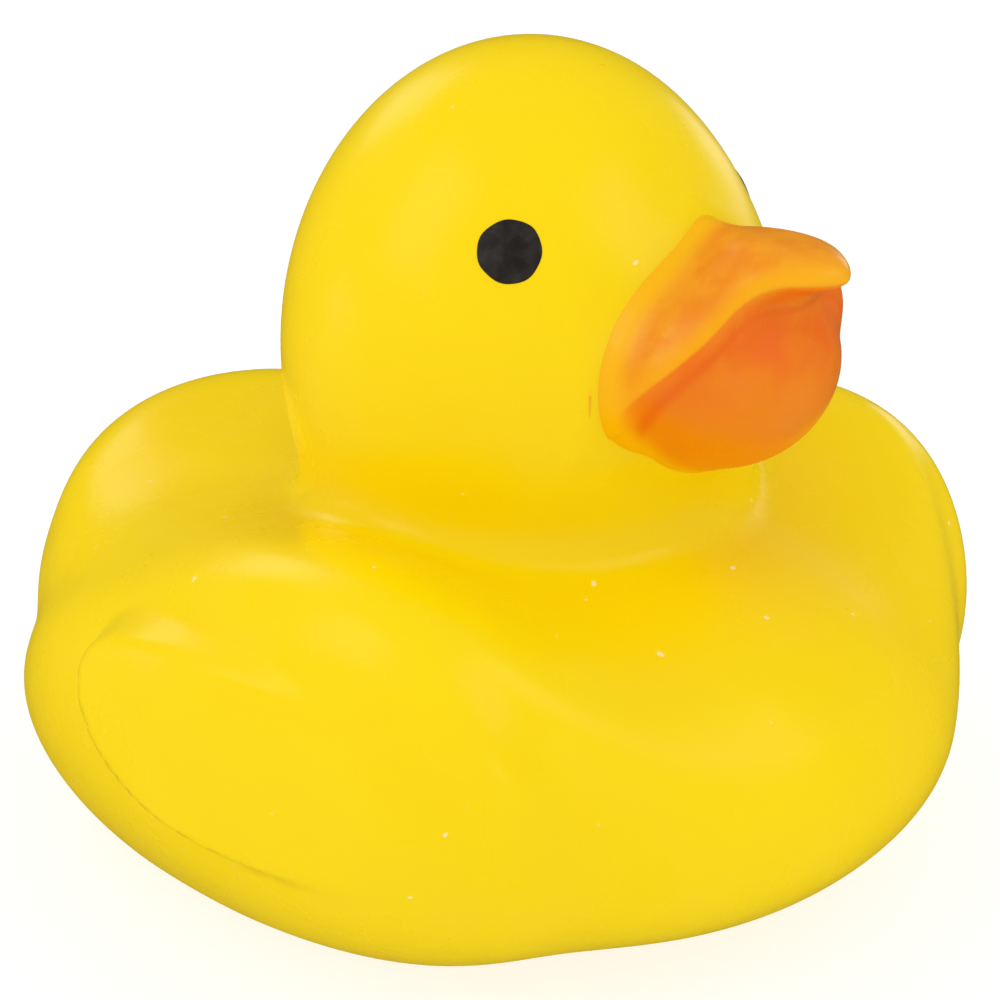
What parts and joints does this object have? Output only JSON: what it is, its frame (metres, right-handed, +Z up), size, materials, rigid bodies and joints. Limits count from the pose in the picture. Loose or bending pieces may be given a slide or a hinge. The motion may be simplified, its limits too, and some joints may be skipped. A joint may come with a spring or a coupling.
{
  "type": "floating chlorine dispenser",
  "caption": "Duck-shaped floating chlorine dispenser: hollow vinyl duck, screw-capped tablet canister in its underside, and a turning dial that opens the vents.",
  "frame": {"origin": "middle of the overall box in plan, on the flat ring that the duck stands on", "axes": "+Z up, the duck looks along -Y, and its left side is +X"},
  "size_m": [0.1552, 0.167, 0.1295],
  "materials": {
    "duck_vinyl": "soft yellow vinyl, semi-gloss",
    "beak_paint": "sprayed orange paint on vinyl, semi-gloss",
    "eye_paint": "thick matt black paint",
    "canister_plastic": "white polypropylene, fine matt",
    "cap_plastic": "white polypropylene, fine matt",
    "dial_plastic": "blue polypropylene, satin",
    "seal_rubber": "black seal rubber, matt",
    "ballast_steel": "zinc-plated turned steel",
    "chlorine_tablet": "pressed white powder, chalky"
  },
  "bodies": {
    "duck": {"duck_shell": "duck_vinyl", "beak": "beak_paint", "right_eye": "eye_paint", "left_eye": "eye_paint", "tablet_canister": "canister_plastic", "canister_gasket": "seal_rubber", "ballast_ring": "ballast_steel"},
    "tablet_stack": {"tablet_1": "chlorine_tablet", "tablet_2": "chlorine_tablet", "tablet_3": "chlorine_tablet", "tablet_4": "chlorine_tablet", "tablet_5": "chlorine_tablet", "tablet_6": "chlorine_tablet"},
    "cap": {"vent_cap": "cap_plastic", "cap_o_ring": "seal_rubber"},
    "dial": {"vent_dial": "dial_plastic", "dial_pin": "cap_plastic"}
  },
  "joints": [
    {"name": "cap_travel", "type": "slide", "parent": "duck", "child": "tablet_stack", "axis": [0, 0, -1], "range_m": [0, 0.009]},
    {"name": "cap_turn", "type": "hinge", "parent": "tablet_stack", "child": "cap", "pos_m": [0, -0.0076, 0], "axis": [0, 0, -1], "range_deg": [0, 540]},
    {"name": "dial_turn", "type": "hinge", "parent": "cap", "child": "dial", "pos_m": [0, -0.0076, 0], "axis": [0, 0, 1], "range_deg": [0, 30]}
  ],
  "couplings": [
    {"joint": "cap_turn", "follows": "cap_travel", "rad_per_m": 1047.2}
  ]
}
